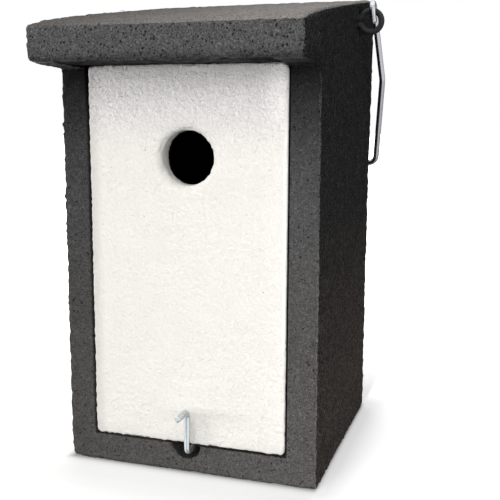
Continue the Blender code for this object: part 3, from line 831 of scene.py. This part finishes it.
@dataclass(frozen=True)
class DarkPaint:
    """Thin dark paint over wire, uneven, with specks of dust in its grain."""

    paint: Colour = (0.016, 0.016, 0.016)
    dust: Colour = (0.048, 0.046, 0.044)

    def material(self) -> bpy.types.Material:
        """Return the finish as a material."""
        graph = Graph("dark_paint")
        grain = graph.noise(1.0 * MM, 3, 0.65)
        lumps = graph.noise(3.2 * MM, 2, 0.5)
        colour = graph.mix(grain.between(0.5, 0.74) * 0.7, self.paint, self.dust)
        return graph.finish(
            Base_Color=colour * (0.8 + lumps * 0.4),
            Roughness=0.55 + 0.3 * grain,
            Normal=graph.bump(grain * 0.5 + lumps * 0.5, 0.25 * MM),
            Specular_IOR_Level=0.3,
        )


@dataclass(frozen=True)
class MouldedNylon:
    """Black moulded nylon of the plug."""

    body: Colour = (0.022, 0.022, 0.023)
    scuffed: Colour = (0.036, 0.035, 0.034)

    def material(self) -> bpy.types.Material:
        """Return the finish as a material."""
        graph = Graph("moulded_nylon")
        grain = graph.noise(0.6 * MM, 2, 0.5)
        lumps = graph.noise(4 * MM, 2, 0.5)
        return graph.finish(
            Base_Color=graph.mix(lumps, self.body, self.scuffed),
            Roughness=0.45 + 0.2 * grain,
            Normal=graph.bump(grain, 0.05 * MM),
        )


def lattice_noise(points: np.ndarray, cell: float, seed: int) -> np.ndarray:
    """Return a smooth noise from -1 to 1 at each point, the same on every run.

    Args:
        points: The points, one row each.
        cell: The size of the noise's lumps in metres.
        seed: Which noise it is.

    Returns:
        One value for each point.
    """
    scaled = points / cell
    base = np.floor(scaled).astype(np.int64)
    share = scaled - base
    share = share * share * (3 - 2 * share)
    total = np.zeros(len(points))
    for corner in range(8):
        step = np.array([corner & 1, corner >> 1 & 1, corner >> 2 & 1])
        key = (base + step) @ np.array([73856093, 19349663, 83492791]) + seed * 7919
        key = (key ^ (key >> 13)) * 1274126177
        value = ((key ^ (key >> 16)) & 0xFFFF) / 0xFFFF
        total += value * np.prod(np.where(step, share, 1 - share), axis=1)
    return total * 2 - 1


@dataclass
class NewPiece:
    """A piece with a mesh of its own, made from a node's mesh and shown in the node's place."""

    node: str
    piece: str
    body: Body
    slot: Slot
    made: Optional[bpy.types.Object] = field(default=None, init=False)

    def dress(self, material: bpy.types.Material) -> None:
        """Give the piece its finish.

        Args:
            material: The finish.
        """
        self.made.data.materials.clear()
        self.made.data.materials.append(material)

    def _start(self) -> bpy.types.Object:
        """Put a copy of the node's mesh in the scene.

        Returns:
            The node that it is a copy of.
        """
        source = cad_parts[self.node]
        self.made = bpy.data.objects.new(self.piece, source.data.copy())
        bpy.context.scene.collection.objects.link(self.made)
        return source

    def _place(self) -> None:
        """Put the piece on its body, in the node's place, and hide the node."""
        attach(self.made, self.body.value)
        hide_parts(self.node)


@dataclass
class Casting(NewPiece):
    """A finely meshed copy of a cast node with an uneven skin, held inside the node's box."""

    voxel: float
    most_triangles: int
    seed: int
    wave_cell: float = 34 * MM
    wave_depth: float = 0.16 * MM
    lump_cell: float = 5 * MM
    lump_depth: float = 0.30 * MM
    grain_cell: float = 2.1 * MM
    grain_depth: float = 0.34 * MM
    edge_grain_depth: float = 0.75 * MM
    chip_cell: float = 3.2 * MM
    chip_depth: float = 2.0 * MM
    right_play: float = 0.0

    def build(self) -> None:
        """Build the piece and put it on its body."""
        source = self._start()
        self._modify("REMESH", mode="VOXEL", voxel_size=self.voxel)
        self._modify("SHRINKWRAP", target=source, wrap_method="NEAREST_SURFACEPOINT")
        self._weather()
        self.made.data.calc_loop_triangles()
        share = self.most_triangles / len(self.made.data.loop_triangles)
        if share < 1:
            self._modify("DECIMATE", ratio=share)
        self.made.data.shade_smooth()
        self._place()

    def _modify(self, kind: str, **settings: Any) -> None:
        """Run one modifier on the piece and keep its result as the mesh.

        Args:
            kind: The modifier's type.
            **settings: The modifier's settings.
        """
        modifier = self.made.modifiers.new(kind.lower(), kind)
        for name, value in settings.items():
            setattr(modifier, name, value)
        graph = bpy.context.evaluated_depsgraph_get()
        mesh = bpy.data.meshes.new_from_object(self.made.evaluated_get(graph))
        self.made.modifiers.clear()
        old = self.made.data
        self.made.data = mesh
        bpy.data.meshes.remove(old)

    def _weather(self) -> None:
        """Make the surface uneven: broad waves, lumps, grain, and ragged, chipped edges."""
        mesh = self.made.data
        count = len(mesh.vertices)
        points = np.empty(count * 3)
        normals = np.empty(count * 3, np.float32)
        mesh.vertices.foreach_get("co", points)
        mesh.vertex_normals.foreach_get("vector", normals)
        points = points.reshape(-1, 3)
        normals = normals.reshape(-1, 3).astype(float)
        low, high = points.min(axis=0), points.max(axis=0)
        wave = lattice_noise(points, self.wave_cell, self.seed) * self.wave_depth
        lump = lattice_noise(points, self.lump_cell, self.seed + 1) * self.lump_depth
        grain = lattice_noise(points, self.grain_cell, self.seed + 2)
        chip = np.clip(lattice_noise(points, self.chip_cell, self.seed + 3) - 0.3, 0, 1)
        edge = np.clip((1 - np.abs(normals).max(axis=1) - 0.04) / 0.2, 0, 1)
        rise = wave + lump + grain * (self.grain_depth + edge * self.edge_grain_depth)
        rise = (rise - edge * chip * self.chip_depth) * self._shown(points)
        high[0] += self.right_play
        points = points + normals * rise[:, None] + self._shift(points, normals)
        points = np.clip(points, low, high)
        mesh.vertices.foreach_set("co", points.ravel())
        mesh.update()

    def _shown(self, points: np.ndarray) -> np.ndarray:
        """Return how much of the wear each point gets.

        Args:
            points: The points, one row each.

        Returns:
            A share from 0 to 1 for each point.
        """
        return np.ones(len(points))

    def _shift(self, points: np.ndarray, normals: np.ndarray) -> np.ndarray:
        """Return how far each point is moved to match the real casting.

        Args:
            points: The points, one row each.
            normals: Their normals, not used here.

        Returns:
            The move of each point, one row each.
        """
        return np.zeros_like(points)


@dataclass
class CastCasing(Casting):
    """The grey casting. The chamber's walls stay plain, since nobody sees them."""

    node: str = "casing"
    piece: str = "casing_cast"
    body: Body = Body.BOX
    slot: Slot = Slot.CASING
    voxel: float = 1.05 * MM
    most_triangles: int = 195_000
    seed: int = 11
    right_play: float = 1.7 * MM
    chamber_half_width: float = 61 * MM
    chamber_front: float = -66 * MM
    chamber_back: float = 62 * MM
    chamber_back_height: float = 253 * MM
    floor_top: float = 24 * MM
    seat_floor: float = 16 * MM
    seat_wear: float = 0.3
    lip_height: float = 245 * MM
    brow_front: float = -109 * MM
    brow_height: float = 263 * MM
    brow_wear: float = 0.5
    front_plane: float = -77 * MM
    seat_half_width: float = 63 * MM
    seat_bottom: float = 18.7 * MM
    close_right: float = 0.30 * MM
    close_left: float = 0.35 * MM
    close_bottom: float = 0.35 * MM
    close_start: float = 0.3 * MM
    close_fade: float = 2.5 * MM
    crisp_reach: float = 1.3 * MM

    def _shown(self, points: np.ndarray) -> np.ndarray:
        """Return how much of the wear each point gets: none inside the chamber.

        Args:
            points: The points, one row each.

        Returns:
            A share from 0 to 1 for each point.
        """
        x, y, z = points.T
        inside = (np.abs(x) < self.chamber_half_width) & (y > self.chamber_front)
        inside &= (y < self.chamber_back) & (z > self.floor_top)
        inside &= z < self.chamber_back_height + (y - self.chamber_back) * ROOF_SLOPE
        seat = (np.abs(x) < self.seat_half_width + 2 * MM) & (y < self.chamber_front)
        seat &= (z > self.seat_floor) & (z < self.lip_height)
        brow = (y < self.brow_front) & (z > self.brow_height)
        shown = np.where(seat, self.seat_wear, np.where(brow, self.brow_wear, 1.0))
        return np.where(inside, 0.0, shown)

    def _closeness(self, away: np.ndarray) -> np.ndarray:
        """Return how much a point moves with the seat's wall, from 1 at the wall to 0.

        Args:
            away: How far each point is from the seat's wall.

        Returns:
            A share from 0 to 1 for each point.
        """
        return np.clip(1 - (away - self.close_start) / self.close_fade, 0, 1)

    def _shift(self, points: np.ndarray, normals: np.ndarray) -> np.ndarray:
        """Return how far each point is moved to match the real casting.

        The seat's walls close in on the panel, with crisp edges at the front, and the right
        side bulges towards the back's top corner.

        Args:
            points: The points, one row each.
            normals: Their normals.

        Returns:
            The move of each point, one row each.
        """
        x, y, z = points.T
        made = np.zeros_like(points)
        front = (y < self.chamber_front) & (z < self.lip_height)
        beside = np.abs(x) - self.seat_half_width
        below = self.seat_bottom - z
        wall = front & (below < 1 * MM) & (beside > -1.2 * MM)
        close = np.where(wall, self._closeness(beside), 0)
        made[:, 0] -= np.where(x > 0, self.close_right, -self.close_left) * close
        sill = front & (beside < 0.5 * MM) & (below > -1.2 * MM)
        made[:, 2] += self.close_bottom * np.where(sill, self._closeness(below), 0)
        crisp = front & (y < self.front_plane + self.crisp_reach)
        crisp &= y > self.front_plane - 0.5 * MM
        crisp &= (wall & (beside < self.crisp_reach)) | (sill & (below < self.crisp_reach))
        made[:, 1] += np.where(crisp, self.front_plane - y, 0)
        back = np.clip((y - 10 * MM) / (60 * MM), 0, 1)
        height = np.clip((z - 120 * MM) / (150 * MM), 0, 1)
        side = np.where(x > 75 * MM, np.clip(normals[:, 0], 0, 1), 0)
        made[:, 0] += side * back * back * (0.2 + 0.8 * height) * self.right_play
        return made


@dataclass
class CastPanel(Casting):
    """The white panel, softly dished round its hole. Its back and its tongue stay plain."""

    node: str = "front_panel"
    piece: str = "panel_cast"
    body: Body = Body.PANEL
    slot: Slot = Slot.PANEL
    voxel: float = 0.75 * MM
    most_triangles: int = 190_000
    seed: int = 31
    wave_depth: float = 0.10 * MM
    lump_cell: float = 4.0 * MM
    lump_depth: float = 0.12 * MM
    grain_cell: float = 1.9 * MM
    grain_depth: float = 0.22 * MM
    edge_grain_depth: float = 0.30 * MM
    chip_cell: float = 3.0 * MM
    chip_depth: float = 0.9 * MM
    back_start: float = -68 * MM
    hole_radius: float = 16 * MM
    dish_width: float = 7 * MM
    dish_depth: float = 1.1 * MM
    left_trim: float = 0.5 * MM
    right_growth: float = 0.25 * MM

    def _shown(self, points: np.ndarray) -> np.ndarray:
        """Return how much of the wear each point gets: none at the back.

        Args:
            points: The points, one row each.

        Returns:
            A share from 0 to 1 for each point.
        """
        return np.clip((self.back_start - points[:, 1]) / (2 * MM), 0, 1)

    def _shift(self, points: np.ndarray, normals: np.ndarray) -> np.ndarray:
        """Return how far each point is moved: the dish round the hole and the side edges.

        Args:
            points: The points, one row each.
            normals: Their normals.

        Returns:
            The move of each point, one row each.
        """
        x, _, z = points.T
        left = np.where(x < -60 * MM, np.clip(-normals[:, 0], 0, 1), 0)
        right = np.where(x > 60 * MM, np.clip(normals[:, 0], 0, 1), 0)
        right = right * np.clip((z - 120 * MM) / (50 * MM), 0, 1)
        away = np.hypot(x - HOLE_X, z - HOLE_Z)
        share = np.clip(1 - (away - self.hole_radius) / self.dish_width, 0, 1)
        facing = np.clip(-normals[:, 1], 0, 1)
        sunk = self.dish_depth * share**2 * facing + left * self.left_trim
        sunk = sunk - right * self.right_growth
        return -normals * sunk[:, None]


@dataclass
class HookWire(NewPiece):
    """The hook, with a little more zinc on its arm and most on its thumb tab."""

    node: str = "latch_hook"
    piece: str = "hook_wire"
    body: Body = Body.LATCH
    slot: Slot = Slot.HOOK
    arm_start: float = 21 * MM
    arm_end: float = 38 * MM
    arm_growth: float = 0.10 * MM
    tab_growth: float = 0.38 * MM

    def build(self) -> None:
        """Build the piece and put it on the hook's body."""
        self._start()
        mesh = self.made.data
        points = np.array([vertex.co[:] for vertex in mesh.vertices])
        normals = np.array([vertex.normal[:] for vertex in mesh.vertices])
        along = (points[:, 2] - self.arm_start) / (self.arm_end - self.arm_start)
        growths = (0, self.arm_growth, self.arm_growth, self.tab_growth)
        growth = np.interp(along, (0, 0.3, 0.85, 1), growths)
        mesh.vertices.foreach_set("co", (points + normals * growth[:, None]).ravel())
        mesh.update()
        self._place()


@dataclass
class KeptPart:
    """A group of nodes that keep their solids and get a finish."""

    nodes: tuple[str, ...]

    def dress(self, material: bpy.types.Material) -> None:
        """Give the nodes their finish.

        Args:
            material: The finish.
        """
        for name in self.nodes:
            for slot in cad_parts[name].material_slots:
                slot.material = material


@dataclass
class SoftBox:
    """A soft square light that looks at one point and isn't mirrored by the wires."""

    name: str
    place: Triple
    target: Triple
    size: float
    power: float
    colour: Colour = WHITE

    def build(self) -> None:
        """Build the light."""
        lamp = bpy.data.lights.new(self.name, "AREA")
        lamp.shape = "SQUARE"
        lamp.size = self.size
        lamp.energy = self.power
        lamp.color = self.colour
        made = bpy.data.objects.new(self.name, lamp)
        bpy.context.scene.collection.objects.link(made)
        made.location = self.place
        made.visible_glossy = False
        look = Vector(self.target) - Vector(self.place)
        made.rotation_euler = look.to_track_quat("-Z", "Y").to_euler()


@dataclass
class Studio:
    """The camera, the pale floor, the white surround and the lights."""

    camera_place: Triple = (0.1820, -0.51856, 0.21599)
    yaw: float = 17.88
    pitch: float = 9.16
    roll: float = 0.26
    focal_pixels: float = 814.88
    frame_pixels: float = 500.0
    sensor: float = 36.0
    floor_size: float = 24.0
    floor_grey: Colour = (0.42, 0.42, 0.42)
    footprint: tuple[float, float] = (0.080, 0.077)
    # The floor's glow, dimmed near the box as painted shadow, in front and on the right.
    front_glow_painted_shadow: Shades = (
        (0.0, 0.03), (0.0015, 0.19), (0.0035, 0.39), (0.0055, 0.49), (0.009, 0.515),
        (0.0115, 0.52), (0.0145, 0.51), (0.018, 0.505), (0.0225, 0.50), (0.0275, 0.51),
        (0.035, 0.515), (0.045, 0.56), (0.06, 0.64), (0.6, 1.0),
    )
    side_glow_painted_shadow: Shades = (
        (0.0, 0.38), (0.0015, 0.43), (0.0025, 0.487), (0.0045, 0.527), (0.007, 0.525),
        (0.0115, 0.586), (0.018, 0.68), (0.025, 0.75), (0.6, 1.0),
    )
    ambient: float = 0.10
    reflected: float = 1.9
    shine_turn: float = 42.0
    shine_least: float = 0.17

    def build(self) -> None:
        """Build everything that isn't part of the object."""
        self._build_camera()
        self._build_floor()
        self._build_world()
        middle = (0.0, 0.0, 0.15)
        lights = (
            SoftBox("key_light", (-0.75, -1.9, 0.75), middle, 1.5, 28.0, (1.0, 0.99, 0.97)),
            SoftBox("left_light", (-1.65, -0.95, 0.30), middle, 0.6, 17.0, (1.0, 0.99, 0.97)),
            SoftBox("high_light", (-0.1, -1.15, 1.75), middle, 0.9, 14.0),
            SoftBox("front_fill", (0.5, -2.1, 0.35), middle, 1.2, 12.0),
            SoftBox("top_light", (-0.2, 0.3, 1.7), middle, 1.2, 12.0),
            SoftBox("right_light", (1.3, -0.9, 0.45), middle, 0.7, 7.0),
            SoftBox("back_fill", (-0.9, 1.6, 0.9), middle, 1.2, 15.0),
        )
        for light in lights:
            light.build()

    def _build_camera(self) -> None:
        """Build the camera at the photograph's viewing angle."""
        yaw, pitch, roll = (math.radians(angle) for angle in (self.yaw, self.pitch, self.roll))
        level_ahead = Vector((-math.sin(yaw), math.cos(yaw), 0))
        ahead = level_ahead * math.cos(pitch) - Vector((0, 0, math.sin(pitch)))
        level = Vector((math.cos(yaw), math.sin(yaw), 0))
        above = level.cross(ahead)
        right = level * math.cos(roll) + above * math.sin(roll)
        up = above * math.cos(roll) - level * math.sin(roll)
        data = bpy.data.cameras.new("photo_camera")
        data.sensor_width = self.sensor
        data.lens = self.focal_pixels * self.sensor / self.frame_pixels
        data.clip_start = 0.02
        camera = bpy.data.objects.new("photo_camera", data)
        bpy.context.scene.collection.objects.link(camera)
        turn = Matrix((right, up, -ahead)).transposed().to_4x4()
        camera.matrix_world = Matrix.Translation(self.camera_place) @ turn
        bpy.context.scene.camera = camera

    def _build_floor(self) -> None:
        """Build the pale floor, which lights nothing by itself. It shows soft shadows from the
        lamps, and its glow is dimmed near the box as painted shadow.
        """
        half = self.floor_size / 2
        corners = [(-half, -half, 0), (half, -half, 0), (half, half, 0), (-half, half, 0)]
        mesh = bpy.data.meshes.new("floor")
        mesh.from_pydata(corners, [], [(0, 1, 2, 3)])
        floor = bpy.data.objects.new("floor", mesh)
        bpy.context.scene.collection.objects.link(floor)
        floor.visible_diffuse = False
        floor.visible_glossy = False
        graph = Graph("pale_floor")
        x, y, _ = graph.position.parts()
        beside = (abs(x) - self.footprint[0]).most(0.0)
        behind = (abs(y) - self.footprint[1]).most(0.0)
        away = (beside * beside + behind * behind) ** 0.5
        # Glow with painted shadow in front, and painted light that lifts the floor left of the
        # box.
        before = graph.grade(away, GLOW_REACH, self.front_glow_painted_shadow) + x.span(-79, -95) * 0.3
        right = graph.grade(away, GLOW_REACH, self.side_glow_painted_shadow)
        glow = graph.mix(x.span(79.5, 83), before, right)
        mesh.materials.append(
            graph.finish(
                Base_Color=self.floor_grey,
                Roughness=0.9,
                Emission_Color=glow,
                Emission_Strength=1.0,
                Specular_IOR_Level=0.0,
            )
        )

    def _build_world(self) -> None:
        """Build the surround: white to look at, bright in reflections, dim as a light."""
        graph = Graph("surround", bpy.data.worlds)
        bpy.context.scene.world = graph.owner
        x, y, z = graph.direction.parts()
        turn = math.radians(self.yaw + self.shine_turn)
        ahead = (x * math.sin(turn) - y * math.cos(turn)).most(0.0) ** 1.8
        shine = ahead.most(self.shine_least).most(z.between(0.25, 0.85)) * self.reflected
        light = z.between(0.0, 0.1) * self.ambient
        in_mirrors = graph.node("ShaderNodeLightPath", {}, {}, "Is Glossy Ray")
        in_view = graph.node("ShaderNodeLightPath", {}, {}, "Is Camera Ray")
        strength = light.most(shine * in_mirrors).most(in_view)
        sockets = {"Color": (1, 1, 1, 1), "Strength": strength}
        background = graph.node("ShaderNodeBackground", {}, sockets)
        graph.add("ShaderNodeOutputWorld", {}, {"Surface": background})
        bpy.context.scene.view_settings.view_transform = "Standard"


def main() -> None:
    """Build and dress every piece of the nest box in turn."""
    logging.basicConfig(level=logging.INFO, format="%(name)s: %(message)s")
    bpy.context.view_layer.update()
    Studio().build()
    LOG.info("studio built")
    hook_zinc = ZincWire("hook_zinc", (0.64, 0.68, 0.70), (0.52, 0.56, 0.59), 0.22, 0.78, 0.8)
    new_pieces = (
        (CastCasing(), GreyWoodcrete()),
        (CastPanel(), WhiteWoodcrete()),
        (HookWire(), hook_zinc),
    )
    for piece, finish in new_pieces:
        piece.build()
        piece.dress(finish.material())
        LOG.info("%s built: %d faces", piece.piece, len(piece.made.data.polygons))
    kept_parts = (
        (KeptPart(("latch_plug",)), MouldedNylon()),
        (KeptPart(("eye_left", "eye_right")), DarkPaint()),
        (KeptPart(("hanging_bail",)), ZincWire("bail_zinc")),
    )
    for part, finish in kept_parts:
        part.dress(finish.material())
        LOG.info("%s dressed", ", ".join(part.nodes))


if __name__ == "__main__":
    main()
